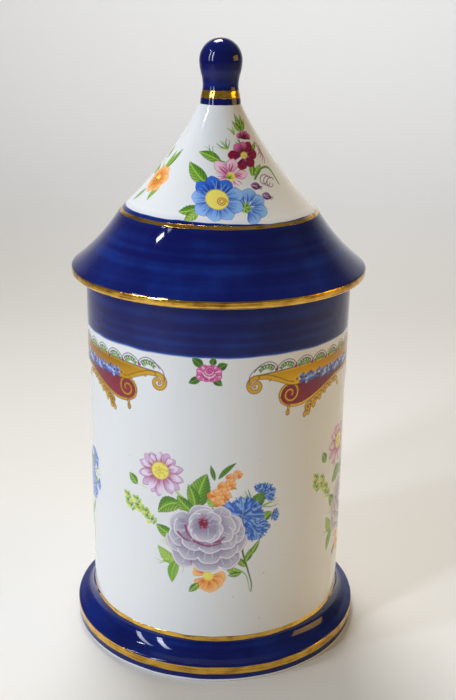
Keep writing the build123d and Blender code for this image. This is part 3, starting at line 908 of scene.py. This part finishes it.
def paint_lid_front(p):
    """The spray on the cone: blue, pink and crimson flowers with violet buds."""
    p.leaf((-12.2, 9.4), (-20.4, 6.8), 4.2, bend=0.6, teeth=0.15)
    p.leaf((-13.0, 8.0), (-18.6, 3.4), 3.4, "green_pale", "green_deep", "green", 0.4, 0.15)
    p.leaf((-8.6, 18.6), (-14.8, 27.0), 6.0, bend=0.5)
    p.leaf((-2.8, 27.4), (-10.8, 31.0), 4.0, bend=-0.5)
    tuft(p, (-5.4, 29.8), 105, 40, 3, 4.4, 0.45, ("green", "green_deep"))
    stem(p, [(-3.2, 28.0), (0.6, 26.8)], 0.4, "green_deep")
    tuft(p, (-0.2, 32.4), 120, 90, 6, 4.2, 0.6, ("green", "green_deep", "green_pale"))
    tuft(p, (2.8, 38.0), 110, 60, 4, 3.4, 0.55, ("green_pale", "green"))
    sprig = np.array((6.0, 38.4))
    for way, size in ((108, 8.0), (88, 7.0), (128, 6.0), (70, 5.4)):
        p.leaf(sprig, sprig + turn(way) * size, 1.7)
    pink = ("crimson", "rose", "maroon")
    round_petals(p, (6.6, 35.8), (60, 100, 140, 20), 3.6, 2.4, 0.3, pink, ("maroon",))
    p.dab((6.8, 36.8), 1.3, "maroon", soft=0.6)
    tuft(p, (5.6, 33.6), 150, 80, 5, 3.2, 0.6, ("green", "green_deep"))
    p.leaf((9.6, 31.2), (12.2, 34.4), 1.8)
    p.leaf((8.2, 21.4), (8.8, 27.2), 2.6)
    p.leaf((9.0, 21.4), (12.6, 25.8), 2.6, "green_pale", "green_deep", "green")
    stem(p, [(9.0, 20.4), (12.6, 24.2), (17.2, 23.6), (20.8, 16.8)], 1.0, "green")
    stem(p, [(9.0, 20.2), (12.6, 23.8), (17.0, 23.2), (20.4, 16.8)], 0.4, "green_deep")
    for shift in (0.0, 1.5, 3.0):
        p.stroke(coil((13.0 + shift, 19.4 - 0.5 * shift), 2.4, 1.2, 30, 310, 30), 0.34, "violet")
    bell_flower(p, (7.0, 18.2), -20, 4.2)
    bell_flower(p, (11.0, 14.0), -26, 4.2)
    for i in range(4):
        line = [(11.8 + 0.6 * i, 34.4 - 1.4 * i), (14.2 + 0.5 * i, 32.0 - 1.4 * i),
                (12.6 + 0.8 * i, 29.4 - 1.2 * i)]
        p.stroke(bow(line), 0.4, "magenta", 0.3)
    dark = ("maroon", "crimson", "maroon")
    eye = (5.8, 29.8)
    round_petals(p, eye, (308, 252, 2, 55, 178), 6.0, 4.0, 0.2, dark, ("maroon", "magenta"))
    round_petals(p, eye, (88, 126), 5.6, 3.4, 0.2, pink, ("maroon",))
    p.dab(eye, 2.8, "yellow", soft=0.3)
    p.dab((6.0, 29.5), 1.4, "orange", soft=0.8, firm=0.6)
    eye = (-0.4, 21.8)
    tuft(p, eye, 180, 80, 7, 5.4, 0.5, ("rose", "magenta"))
    tuft(p, (-0.4, 21.6), 285, 110, 9, 5.6, 0.6, ("rose", "magenta", "rose_pale"))
    for way, size, wide in ((128, 7.4, 4.4), (74, 7.2, 4.4), (8, 6.8, 3.8)):
        p.blade(eye, way, size, wide, "rose", "rose_pale", "crimson", full=1.6)
        tuft(p, eye, way, 18, 3, size * 0.72, 0.5, ("magenta", "crimson"))
    p.dab((0.0, 21.6), 4.2, "yellow", 90, 0.8, soft=0.3)
    tuft(p, (-0.6, 21.0), 90, 150, 7, 1.9, 0.4, ("green_deep", "green"))
    light = ("blue", "blue_pale", "blue_deep")
    deep = ("blue_deep", "blue", "blue_deep")
    veins = ("blue_deep", "blue", "blue_pale")
    round_petals(p, (4.4, 9.4), (125, 75, 25, -22, -68), 8.0, 5.4, 0.8, light, veins)
    p.dab((3.8, 9.2), 4.6, "green", soft=0.4)
    tuft(p, (3.4, 9.0), 90, 330, 12, 2.4, 0.45, ("green_deep", "green_pale"))
    eye = (-5.8, 12.6)
    round_petals(p, eye, (56, 96, 136), 9.2, 5.4, 1.4, deep, ("blue_deep", "blue_pale"))
    round_petals(p, eye, (16, 176, 216, 256, 296, 336), 9.6, 5.7, 1.4, light, veins)
    p.dab(eye, 8.4, "yellow_deep", soft=0.1)
    p.dab(eye, 8.0, "yellow", soft=0.1)
    p.dab((-5.0, 12.0), 6.0, "orange_pale", soft=0.9, firm=0.25)
    p.stroke(coil((-4.2, 11.7), 1.8, 0.4, 0, 740, 60), 0.34, "russet")


def paint_lid_side(p):
    """The other spray on the cone: an orange flower with long leaves."""
    p.leaf((0.6, 22.0), (3.8, 31.6), 2.4)
    p.leaf((-0.4, 22.4), (0.8, 30.4), 1.8, "green_pale", "green", "green")
    p.leaf((-2.6, 13.0), (-7.0, 6.2), 2.2)
    p.leaf((5.4, 15.4), (4.2, 8.8), 2.8, "green_pale", "green", "green_deep", -1.0)
    p.leaf((-4.0, 20.0), (-11.0, 23.0), 4.0, bend=0.6)
    ring = [360 * i / 7 + 60 for i in range(7)]
    tones = ("orange", "orange_pale", "orange")
    round_petals(p, (0.4, 18.0), ring, 6.2, 4.6, 0.4, tones, ("orange_deep", "orange"))
    p.dab((0.2, 18.0), 3.4, "yellow", soft=0.4)
    tuft(p, (0.2, 17.6), 270, 200, 8, 2.8, 0.4, ("russet", "orange_deep"))
    p.leaf((-5.0, 26.0), (-4.0, 32.0), 2.4)
    stem(p, [(-1.6, 22.6), (-4.4, 24.6), (-5.0, 26.6)], 0.45, "green")


def paint_shell(p):
    """The gilt shell that joins the two halves of a scrolled border."""
    foot = np.array((0.0, 108.6))
    for i in range(11):
        angle = 90 + 15.5 * ((i + 1) // 2) * (-1) ** i
        length = 11.6 - 0.06 * abs(angle - 90)
        p.blade(foot, angle, length, 3.0, "russet", "gold", "russet_deep", full=2.4)
        p.stroke([foot + turn(angle) * 2.0, foot + turn(angle) * length * 0.9], 0.7, "gold", 1.2, gold=1.0)
        p.dab(foot + turn(angle) * length * 0.93, 1.3, "gold", soft=0.4, gold=1.0)
    for side in (-1, 1):
        gold_line(p, coil((3.4 * side, 107.4), 2.6, 0.5, 90, -470 * side, 50), 1.0, 0.6)
    p.dab(foot, 3.2, "russet_deep")
    p.dab(foot, 2.5, "gold", gold=1.0)
    p.dab(foot + (0, 0.1), 1.2, "crimson", soft=0.5)
    stem(p, [(0, 107.0), (0, 104.6)], 0.8, "russet_deep")
    p.dab((0.0, 103.8), 2.2, "russet_deep", 90, 0.8)
    p.dab((0.0, 103.9), 1.6, "gold", 90, 0.8, gold=1.0)


def add(tree, kind, inputs, **fields):
    """Adds a node. inputs: a value or another node's output for each socket, by name or number."""
    made = tree.nodes.new("ShaderNode" + kind)
    for key, value in fields.items():
        setattr(made, key, value)
    for key, value in inputs.items():
        if isinstance(value, bpy.types.NodeSocket):
            tree.links.new(value, made.inputs[key])
        else:
            made.inputs[key].default_value = value
    return made.outputs


def material(name, paint):
    """The material of this name, made once by a function that fills its node tree."""
    made = bpy.data.materials.get(name)
    if made is None:
        made = bpy.data.materials.new(name)
        made.use_nodes = True
        made.node_tree.nodes.clear()
        paint(made.node_tree, bpy.context.scene.jar_settings)
    return made


def rgba(colour):
    """A colour for a node's socket, which wants a fourth number."""
    return (*colour, 1)


def surface(tree, inputs):
    """The shader of an opaque surface and the material's output."""
    shader = add(tree, "BsdfPrincipled", inputs)
    add(tree, "OutputMaterial", {"Surface": shader[0]})


def white_glaze(tree, look):
    """The coordinates, the colour and the bump of clear glaze over white porcelain."""
    where = add(tree, "TexCoord", {})["Object"]
    cloud = add(tree, "TexNoise", {"Vector": where, "Scale": 1 / (38 * MM), "Detail": 2.0})["Fac"]
    grit = add(tree, "TexNoise", {"Vector": where, "Scale": 1 / (1.3 * MM), "Detail": 0.0})["Fac"]
    tone = add(tree, "MapRange", {"Value": cloud, "From Min": 0.3, "From Max": 0.7})[0]
    cream = rgba([c * k for c, k in zip(look.porcelain, (1.0, 0.985, 0.955))])
    body = add(tree, "Mix", {0: tone, 6: rgba(look.porcelain), 7: cream}, data_type="RGBA")[2]
    speck = add(tree, "MapRange", {"Value": grit, "From Min": 0.86, "From Max": 0.89, "To Max": 0.35})[0]
    body = add(tree, "Mix", {0: speck, 6: body, 7: rgba(linear("#8C8378"))}, data_type="RGBA")[2]
    swell = add(tree, "TexNoise", {"Vector": where, "Scale": 1 / (9 * MM), "Detail": 1.0})["Fac"]
    bump = add(tree, "Bump", {"Height": swell, "Strength": 0.035, "Distance": 1.0 * MM})[0]
    return where, body, bump


def porcelain(tree, look):
    """Hard-paste porcelain under a clear fired glaze: a cool white with a wet shine and rare iron specks."""
    body, bump = white_glaze(tree, look)[1:]
    surface(tree, {"Base Color": body, "Roughness": 0.09, "IOR": 1.5, "Normal": bump})


def cobalt(tree, look):
    """Cobalt blue fired into the glaze: almost black where it lies deep, clear blue where it runs thin."""
    where, body, bump = white_glaze(tree, look)
    height = add(tree, "SeparateXYZ", {"Vector": where})["Z"]
    # The brush leaves level bands about 3 mm wide as the piece turns on the wheel.
    turns = add(tree, "TexNoise", {"W": height, "Scale": 1 / (3.2 * MM), "Detail": 1.0},
                noise_dimensions="1D")["Fac"]
    drift = add(tree, "TexNoise", {"Vector": where, "Scale": 1 / (14 * MM), "Detail": 3.0})["Fac"]
    depth = add(tree, "Attribute", {}, attribute_name="depth")["Fac"]
    uneven = add(tree, "Math", {0: turns, 1: drift}, operation="ADD")[0]
    uneven = add(tree, "MapRange", {"Value": uneven, "From Min": 0.7, "From Max": 1.35, "To Min": 0.74})[0]
    depth = add(tree, "Math", {0: depth, 1: uneven}, operation="MULTIPLY")[0]
    wash = add(tree, "MapRange", {"Value": depth, "From Min": 0.02, "From Max": 0.45},
               interpolation_type="SMOOTHSTEP")[0]
    deep = add(tree, "MapRange", {"Value": depth, "From Min": 0.4, "From Max": 0.95},
               interpolation_type="SMOOTHSTEP")[0]
    blue = add(tree, "Mix", {0: deep, 6: rgba(look.cobalt_thin), 7: rgba(look.cobalt)}, data_type="RGBA")[2]
    blue = add(tree, "Mix", {0: wash, 6: body, 7: blue}, data_type="RGBA")[2]
    surface(tree, {"Base Color": blue, "Roughness": 0.05, "IOR": 1.42, "Normal": bump})


def gilding(tree, look):
    """Brushed and burnished gold: bright metal with lines along the brush, rubbed browner in places."""
    where = add(tree, "TexCoord", {})["Object"]
    x, y, z = add(tree, "SeparateXYZ", {"Vector": where})
    # The brush draws lines about 0.6 mm apart and 10 mm long round the jar.
    round_turn = add(tree, "Math", {0: y, 1: x}, operation="ARCTAN2")[0]
    along = add(tree, "Math", {0: round_turn, 1: BODY_RADIUS * MM * 0.6 / 10}, operation="MULTIPLY")[0]
    brush = add(tree, "CombineXYZ", {"X": along, "Z": z})[0]
    lines = add(tree, "TexNoise", {"Vector": brush, "Scale": 1 / (0.6 * MM), "Detail": 2.0})["Fac"]
    swell = add(tree, "TexNoise", {"Vector": where, "Scale": 1 / (3.5 * MM), "Detail": 1.0})["Fac"]
    worn = add(tree, "TexNoise", {"Vector": where, "Scale": 1 / (6 * MM), "Detail": 4.0})["Fac"]
    worn = add(tree, "Math", {0: worn, 1: lines}, operation="ADD")[0]
    worn = add(tree, "MapRange", {"Value": worn, "From Min": 0.95, "From Max": 1.3})[0]
    gold = add(tree, "Mix", {0: worn, 6: rgba(look.gilding), 7: rgba(look.gilding_worn)}, data_type="RGBA")[2]
    rough = add(tree, "MapRange", {"Value": worn, "To Min": 0.08, "To Max": 0.26})[0]
    bump = add(tree, "Bump", {"Height": swell, "Strength": 0.45, "Distance": 0.6 * MM})[0]
    bump = add(tree, "Bump", {"Height": lines, "Strength": 0.25, "Distance": 0.1 * MM, "Normal": bump})[0]
    surface(tree, {"Base Color": gold, "Metallic": 1.0, "Roughness": rough, "Normal": bump})


def enamel(tree, look):
    """Painted enamel melted onto the glaze: clear colours with a soft gloss, and gold where it is gilt."""
    paint = add(tree, "Attribute", {}, attribute_name="paint")["Color"]
    gilt = add(tree, "Attribute", {}, attribute_name="gilt")["Fac"]
    where = add(tree, "TexCoord", {})["Object"]
    melt = add(tree, "TexNoise", {"Vector": where, "Scale": 1 / (0.8 * MM), "Detail": 2.0})["Fac"]
    rough = add(tree, "MapRange", {"Value": melt, "From Min": 0.3, "From Max": 0.7, "To Min": 0.1,
                                   "To Max": 0.22})[0]
    bump = add(tree, "Bump", {"Height": melt, "Strength": 0.15, "Distance": 0.15 * MM})[0]
    surface(tree, {"Base Color": paint, "Metallic": gilt, "Roughness": rough, "IOR": 1.5, "Normal": bump})


def backdrop(tree, look):
    """Matt painted board, which the eye reads as an even pale ground."""
    where = add(tree, "TexCoord", {})["Object"]
    grain = add(tree, "TexNoise", {"Vector": where, "Scale": 1 / (4 * MM), "Detail": 3.0})["Fac"]
    bump = add(tree, "Bump", {"Height": grain, "Strength": 0.05, "Distance": 0.5 * MM})[0]
    colour = rgba(bpy.context.scene.jar_stage.floor)
    surface(tree, {"Base Color": colour, "Roughness": 0.7, "Normal": bump})


def dressed(piece, finish, slot=None, *nodes):
    """Gives a piece its material and hides the nodes that it stands for."""
    piece.data.materials.append(material(*finish))
    if nodes:
        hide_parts(*nodes)


PORCELAIN = ("Hard-paste porcelain, clear glazed", porcelain)
COBALT = ("Cobalt glaze, brushed and fired", cobalt)
GILDING = ("Gilding, brushed and burnished", gilding)
ENAMEL = ("Overglaze enamel, hand painted", enamel)
BOARD = ("Painted board, matt", backdrop)


def on_wall(azimuth, s, proud=0.0):
    """Lays flat paint on the jar's wall or a little proud of it: x runs round it and y is height."""
    middle = math.radians(azimuth)

    def place(x, y, lift):
        return placed(middle + x / BODY_RADIUS, np.full_like(x, BODY_RADIUS), y, s, lift + proud)

    return place


def tilted(place, tilt, rise, middle=60.0):
    """Turns flat paint by an angle about its middle height and raises it, before it is laid on a surface."""
    c, s = turn(tilt)
    return lambda x, y, lift: place(c * x - s * (y - middle), s * x + c * (y - middle) + middle + rise, lift)


def mirrored(place):
    """Lays flat paint the other way round."""
    return lambda x, y, lift: place(-x, y, lift)


def on_cone(azimuth, s):
    """Lays flat paint on the lid's cone: x runs round it and y up the slope from the shoulder."""
    middle = math.radians(azimuth)
    cone = outside(lid_section(s))
    cone = cone[cone[:, 1] >= SHOULDER - 1e-3]
    slope = np.concatenate([[0], np.cumsum(np.hypot(*np.diff(cone, axis=0).T))])

    def place(x, y, lift):
        radius = np.interp(y, slope, cone[:, 0])
        return placed(middle + x / radius, radius, np.interp(y, slope, cone[:, 1]), s, lift)

    return place


def fired(name, paint, place, body, s):
    """A sheet of enamel on a surface: raised where it is painted, with its back let into the glaze."""
    keep = paint.cover > 0.02
    cell = keep[:-1, :-1] | keep[1:, :-1] | keep[:-1, 1:] | keep[1:, 1:]
    # Cells that only touch at a corner get a cell between them, so that the layer stays one closed skin.
    for _ in range(4):
        one = cell[:-1, :-1] & cell[1:, 1:] & ~cell[1:, :-1] & ~cell[:-1, 1:]
        two = cell[1:, :-1] & cell[:-1, 1:] & ~cell[:-1, :-1] & ~cell[1:, 1:]
        cell[1:, :-1] |= one
        cell[1:, 1:] |= two
    rows, cols = np.nonzero(cell)
    used = np.zeros(keep.shape, bool)
    for down, along in ((0, 0), (0, 1), (1, 1), (1, 0)):
        used[rows + down, cols + along] = True
    count = int(used.sum())
    number = np.zeros(keep.shape, int)
    number[used] = np.arange(count)
    front = np.stack([number[rows, cols], number[rows, cols + 1], number[rows + 1, cols + 1],
                      number[rows + 1, cols]], -1)
    sides = np.concatenate([front[:, [k, (k + 1) % 4]] for k in range(4)])
    border = ~np.isin(sides[:, 0] * count + sides[:, 1], sides[:, 1] * count + sides[:, 0])
    a, b = sides[border].T
    walls = np.stack([b, a, a + count, b + count], -1)
    faces = np.concatenate([front, front[:, ::-1] + count, walls])
    x, y = paint.x[used], paint.y[used]
    top = place(x, y, s["paint_relief"] * ease(0, 1, paint.cover[used]) - EDGE_SINK)
    points = np.concatenate([top, place(x, y, np.full_like(x, -BACK_DEPTH))])
    mesh = bpy.data.meshes.new(name)
    mesh.from_pydata((points * MM).tolist(), [], faces.tolist())
    # The painted face fills most of the map, and the back and the edge share a strip beside it.
    flat = np.stack([(x - x.min()) / np.ptp(x) * 0.94 + 0.01, (y - y.min()) / np.ptp(y) * 0.98 + 0.01], -1)
    strip = flat * (0.02, 1) + (0.97, 0)
    uv = np.concatenate([flat[front.ravel()], np.tile(strip, (2, 1))[faces[len(front):].ravel()]])
    mesh.uv_layers.new(name="OFBake").data.foreach_set("uv", uv.ravel())
    colour = np.tile(np.c_[paint.colour[used], np.ones(count)], (2, 1))
    mesh.attributes.new("paint", "FLOAT_COLOR", "POINT").data.foreach_set("color", colour.ravel())
    mesh.attributes.new("gilt", "FLOAT", "POINT").data.foreach_set("value", np.tile(paint.gold[used], 2))
    whole(mesh)
    dressed(smoothed(name, mesh, body), ENAMEL)


def sheet_of(low, high, s, seed, cell=1.0):
    """A clean sheet to paint on, with the enamels mixed."""
    colours = bpy.context.scene.jar_enamels
    ink = {key: np.array(getattr(colours, key)) for key in ENAMELS}
    return Enamel(low, high, s["paint_cell"] * cell, ink, seed)


class JAR_OT_vessel(bpy.types.Operator):
    """Turns the jar: its white body and the cobalt of its mouth and foot"""

    bl_idname = "jar.vessel"
    bl_label = "Vessel"

    def execute(self, context):
        s = settings()
        section = jar_section(s)
        dressed(turned("jar_body_glazed", section, "jar", s), PORCELAIN, "porcelain", "jar_body")
        mouth = banded("jar_cobalt", section, MOUTH_BAND_LOW - 1.2, MOUTH - 0.4, "jar", s,
                       lift=0.06, wave=0.14, seed=3, fade=(2.0, 0.5))
        dressed(mouth, COBALT, "cobalt_glaze", "jar_cobalt_band")
        foot = banded("foot_cobalt", section, FOOT_BAND_LOW, FLARE_TOP - 0.6, "jar", s,
                      lift=0.06, wave=0.1, seed=5, fade=(0.5, 0.0))
        dressed(foot, COBALT, "cobalt_glaze", "foot_cobalt_band")
        return {"FINISHED"}


class JAR_OT_lid(bpy.types.Operator):
    """Turns the lid: its white shell and the cobalt of its bell"""

    bl_idname = "jar.lid"
    bl_label = "Lid"

    def execute(self, context):
        s = settings()
        section = lid_section(s)
        dressed(turned("lid_glazed", section, "lid", s), PORCELAIN, "porcelain", "lid_shell")
        bell = banded("lid_cobalt", section, RIM_GILT_LOW, SHOULDER + 1.5, "lid", s,
                      lift=0.06, wave=0.3, seed=11, fade=(0.0, 0.6), wash=3.0, creep=(1.5, -52))
        dressed(bell, COBALT, "cobalt_glaze", "lid_cobalt_band")
        return {"FINISHED"}


class JAR_OT_knob(bpy.types.Operator):
    """Turns the knob and touches its top with gold"""

    bl_idname = "jar.knob"
    bl_label = "Knob"

    def execute(self, context):
        s = settings()
        section = knob_section()
        ball = turned("knob_glazed", section, "lid", s, 0.5)
        depth = np.ones(len(ball.data.vertices))
        ball.data.attributes.new("depth", "FLOAT", "POINT").data.foreach_set("value", depth)
        dressed(ball, COBALT, "cobalt_glaze", "knob")
        tip = touched("knob_gilt_tip", 1.9, KNOB_TOP - s["glaze_inset"], KNOB_BALL, "lid", s)
        dressed(tip, GILDING, "gilding")
        return {"FINISHED"}


class JAR_OT_gilding(bpy.types.Operator):
    """Brushes the gold lines round the foot, the lid and the knob"""

    bl_idname = "jar.gilding"
    bl_label = "Gilding"

    def execute(self, context):
        s = settings()
        jar, lid, knob = jar_section(s), lid_section(s), knob_section()
        # Each line: its node, its section and body, how far its lower edge is raised, its wave and its seed.
        lines = (
            ("foot_gilt_line", jar, "jar", 0.0, 0.2, 21),
            ("foot_gilt_band", jar, "jar", 0.0, 0.22, 23),
            ("lid_rim_gilt", lid, "lid", -0.3, 0.08, 25),
            ("lid_shoulder_gilt_line", lid, "lid", 0.3, 0.16, 27),
            ("knob_gilt_ring", knob, "lid", 0.0, 0.12, 29),
        )
        for node, section, body, rise, wave, seed in lines:
            low, high = ring_of(node)[1:]
            line = banded(node + "_brushed", section, low + rise, high, body, s,
                          lift=0.1, wave=wave, seed=seed)
            dressed(line, GILDING, "gilding", node)
        return {"FINISHED"}


class JAR_OT_sprays(bpy.types.Operator):
    """Paints the four large sprays of flowers on the wall"""

    bl_idname = "jar.sprays"
    bl_label = "Flower sprays"

    def execute(self, context):
        s = settings()
        paint = sheet_of((-35, 30), (31, 91), s, 3)
        paint_spray(paint)
        # Each spray was laid by hand: its angle round the jar, its tilt and how far it sits above the first.
        for i, (azimuth, tilt, rise) in enumerate(((0, 0, 0), (85, -16, -3), (180, 0, 0), (270, 0, 0))):
            fired(f"wall_spray_{i + 1}", paint, tilted(on_wall(azimuth, s), tilt, rise), "jar", s)
        return {"FINISHED"}


class JAR_OT_scrolls(bpy.types.Operator):
    """Paints the two scrolled borders and the roses between them"""

    bl_idname = "jar.scrolls"
    bl_label = "Scrolls and roses"

    def execute(self, context):
        s = settings()
        quarter = BODY_RADIUS * math.pi / 2
        half = sheet_of((12, 98), (quarter, 126), s, 5)
        paint_scroll_half(half, quarter + 1)
        for side, name in ((0, "right"), (180, "left")):
            fired(f"scroll_{name}_front", half, on_wall(side, s), "jar", s)
            fired(f"scroll_{name}_back", half, mirrored(on_wall(side + 180, s)), "jar", s)
        shell = sheet_of((-9, 101), (9, 122), s, 13, 0.8)
        paint_shell(shell)
        # The shell lies over the ends of the two halves.
        for side, name in ((90, "right"), (-90, "left")):
            fired(f"scroll_{name}_shell", shell, on_wall(side, s, proud=0.04), "jar", s)
        rose = sheet_of((-12, 112), (12, 128), s, 7, 0.8)
        paint_rose(rose)
        for i, name in enumerate(("front", "back")):
            fired(f"rose_{name}", rose, on_wall(180 * i, s), "jar", s)
        return {"FINISHED"}


class JAR_OT_lid_sprays(bpy.types.Operator):
    """Paints the four sprays on the lid's cone"""

    bl_idname = "jar.lid_sprays"
    bl_label = "Lid sprays"

    def execute(self, context):
        s = settings()
        front = sheet_of((-22, 1), (23, 47), s, 9, 0.8)
        paint_lid_front(front)
        side = sheet_of((-14, 3), (10, 33), s, 11, 0.8)
        paint_lid_side(side)
        for i, (paint, azimuth) in enumerate(((front, 14.5), (side, 119.5), (front, 194.5), (side, 299.5))):
            fired(f"lid_spray_{i + 1}", paint, on_cone(azimuth, s), "lid", s)
        return {"FINISHED"}


class JAR_OT_stage(bpy.types.Operator):
    """Sets the pale floor, the light and the camera"""

    bl_idname = "jar.stage"
    bl_label = "Stage"

    def execute(self, context):
        scene = context.scene
        # A board in metres: it lies flat, bends up behind the jar and stands as the backdrop.
        reach, bend_start, bend, top = 5.0, 0.9, 0.5, 2.4
        curve = [(bend_start + bend * math.sin(a), bend - bend * math.cos(a))
                 for a in np.linspace(0, math.pi / 2, 24)]
        line = np.array([(-reach, 0.0), (bend_start, 0.0), *curve, (bend_start + bend, top)])
        wide = np.linspace(-reach, reach, 9)[None, :]
        points = np.stack(np.broadcast_arrays(wide, line[:, :1], line[:, 1:]), -1) / MM
        mesh = woven("stage_board", points)
        board = bpy.data.objects.new("stage_board", mesh)
        scene.collection.objects.link(board)
        mesh.polygons.foreach_set("use_smooth", np.ones(len(mesh.polygons), bool))
        mesh.materials.append(material(*BOARD))
        # Each lamp: its angle round and up, its distance and size in metres, its power, colour and spread.
        self.lamp(scene, "window_left", -66, 23, 0.95, (0.08, 0.75), 0.5, "#EAF3FF", 75)
        self.lamp(scene, "window_right", -46, 23, 0.95, (0.08, 0.75), 0.74, "#EAF3FF", 75)
        self.lamp(scene, "skylight", -78, 44, 1.0, (0.1, 0.025), 0.05, "#EEF5FF", 60)
        self.lamp(scene, "soft_fill", 86, 12, 1.5, (0.9, 0.5), 1.35, "#FFC42A", 90)
        self.lamp(scene, "overhead", -165, 62, 1.5, (0.55, 0.55), 2.6, "#FFFFFF", 70)
        self.lamp(scene, "wall_wash", 178, 60, 1.2, (1.6, 0.3), 8, "#F2F6FF", 120, Vector((0, 1.4, 0.5)))
        world = bpy.data.worlds.new("room_light")
        world.use_nodes = True
        world.node_tree.nodes["Background"].inputs["Color"].default_value = rgba(linear("#E2DECF"))
        world.node_tree.nodes["Background"].inputs["Strength"].default_value = 0.24
        scene.world = world
        self.camera(scene, scene.jar_stage)
        scene.view_settings.view_transform = "Standard"
        return {"FINISHED"}

    def lamp(self, scene, name, azimuth, elevation, distance, size, power, colour, spread, target=JAR_MIDDLE):
        """A soft lamp that faces the jar or another target, at an angle round from the camera."""
        data = bpy.data.lights.new(name, "AREA")
        data.shape = "RECTANGLE"
        data.size, data.size_y = size
        data.energy = power
        data.spread = math.radians(spread)
        data.color = linear(colour)
        lamp = bpy.data.objects.new(name, data)
        scene.collection.objects.link(lamp)
        round_angle = math.radians(azimuth) + scene.jar_stage.azimuth
        rise = math.radians(elevation)
        level = math.cos(rise)
        way = Vector((math.sin(round_angle) * level, -math.cos(round_angle) * level, math.sin(rise)))
        lamp.location = way * distance + JAR_MIDDLE
        lamp.rotation_euler = (lamp.location - target).to_track_quat("Z", "Y").to_euler()

    def camera(self, scene, look):
        """A camera at the photograph's place."""
        data = bpy.data.cameras.new("view")
        data.sensor_width = 36
        data.lens = look.lens
        view = bpy.data.objects.new("view", data)
        scene.collection.objects.link(view)
        ahead = Vector((math.sin(look.yaw) * math.cos(look.pitch), math.cos(look.yaw) * math.cos(look.pitch),
                        -math.sin(look.pitch)))
        right = Vector((math.cos(look.yaw), -math.sin(look.yaw), 0))
        up = right.cross(ahead)
        lean = look.roll
        across = right * math.cos(lean) - up * math.sin(lean)
        upright = right * math.sin(lean) + up * math.cos(lean)
        facing = Matrix((across, upright, -ahead)).transposed().to_4x4()
        place = Matrix.Translation((0, -look.camera_distance, look.camera_height))
        view.matrix_world = Matrix.Rotation(look.azimuth, 4, "Z") @ place @ facing
        scene.camera = view


class JAR_PT_pieces(bpy.types.Panel):
    """Lists the jar's settings and the operators that build it"""

    bl_idname = "JAR_PT_pieces"
    bl_label = "Covered jar"
    bl_space_type = "VIEW_3D"
    bl_region_type = "UI"
    bl_category = "Jar"

    def draw(self, context):
        for step in STEPS:
            self.layout.operator(step.bl_idname)
        for group in (context.scene.jar_settings, context.scene.jar_enamels, context.scene.jar_stage):
            box = self.layout.box()
            for key in group.__annotations__:
                box.prop(group, key)


STEPS = (JAR_OT_vessel, JAR_OT_lid, JAR_OT_knob, JAR_OT_gilding, JAR_OT_sprays, JAR_OT_scrolls,
         JAR_OT_lid_sprays, JAR_OT_stage)
CLASSES = (EnamelColours, JarSettings, StageSettings, *STEPS, JAR_PT_pieces)


def register():
    """Adds the settings, the operators and the panel."""
    for kind in CLASSES:
        bpy.utils.register_class(kind)
    bpy.types.Scene.jar_enamels = bpy.props.PointerProperty(type=EnamelColours)
    bpy.types.Scene.jar_settings = bpy.props.PointerProperty(type=JarSettings)
    bpy.types.Scene.jar_stage = bpy.props.PointerProperty(type=StageSettings)


def unregister():
    """Takes them out again."""
    del bpy.types.Scene.jar_enamels, bpy.types.Scene.jar_settings, bpy.types.Scene.jar_stage
    for kind in reversed(CLASSES):
        bpy.utils.unregister_class(kind)


def main():
    """Builds the jar and its stage."""
    register()
    for step in STEPS:
        kind, name = step.bl_idname.split(".")
        getattr(getattr(bpy.ops, kind), name)()


if __name__ == "__main__":
    main()
